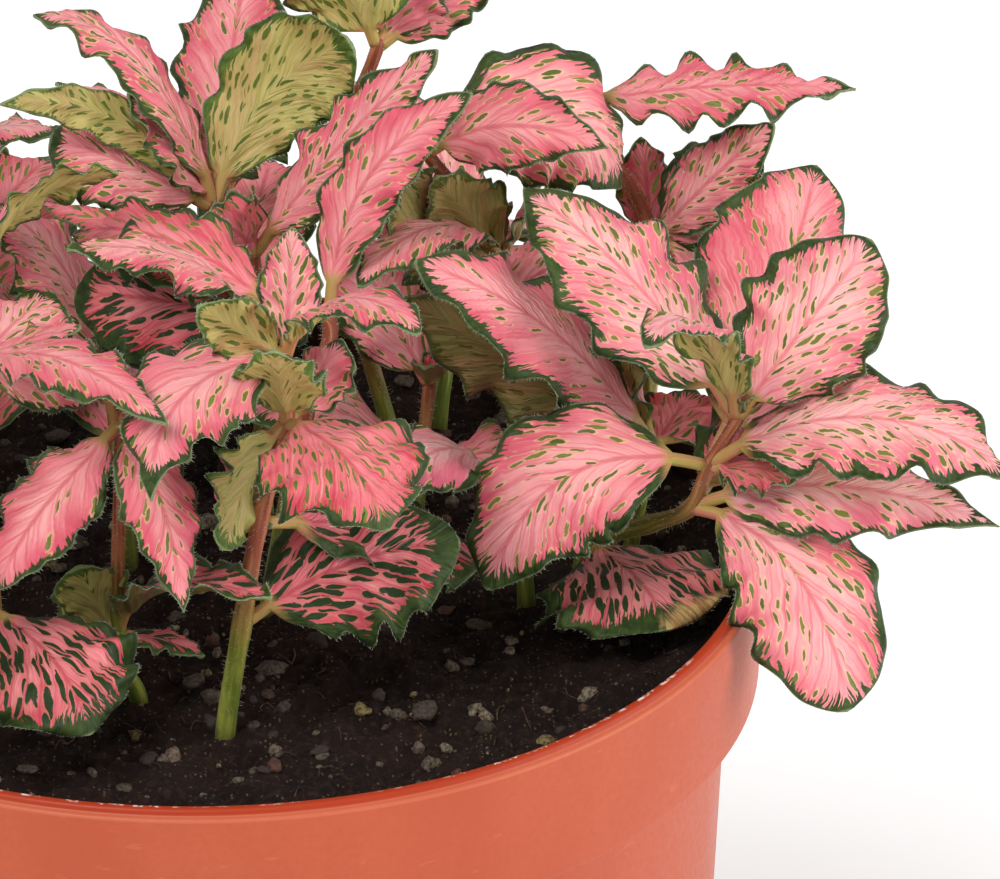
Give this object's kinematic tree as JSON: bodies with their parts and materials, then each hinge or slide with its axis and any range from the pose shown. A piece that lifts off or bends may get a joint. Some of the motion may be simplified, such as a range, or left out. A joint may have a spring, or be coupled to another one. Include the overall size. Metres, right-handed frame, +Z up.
{
  "type": "potted nerve plant",
  "caption": "low bushy nerve plant with pink, green-edged wavy leaves on short stems, rooted in dark soil in a round terracotta-coloured plastic nursery pot with a rim band",
  "frame": {"origin": "centre of the pot's flat base, on the surface that it stands on", "axes": "+Z up along the pot's axis; -Y towards the side seen in the picture; +X to the right of that view; the pot stands on its flat base"},
  "size_m": [0.1614, 0.1266, 0.1681],
  "materials": {
    "pot": "satin terracotta-orange moulded plastic",
    "soil": null,
    "leaf": null
  },
  "bodies": {
    "root": {"pot": "pot", "soil": "soil", "shoot_right": "leaf", "shoot_centre": "leaf", "shoot_spur": "leaf", "shoot_front": "leaf", "shoot_left": "leaf", "shoot_far_left": "leaf", "shoot_middle": "leaf", "shoot_high": "leaf", "shoot_top": "leaf", "shoot_back": "leaf", "shoot_back_right": "leaf", "shoot_west_front": "leaf", "shoot_west": "leaf", "shoot_west_inner": "leaf", "shoot_west_back": "leaf", "shoot_back_left": "leaf", "shoot_back_middle": "leaf", "shoot_back_far": "leaf", "shoot_inner_right": "leaf", "shoot_inner_left": "leaf"}
  },
  "joints": []
}
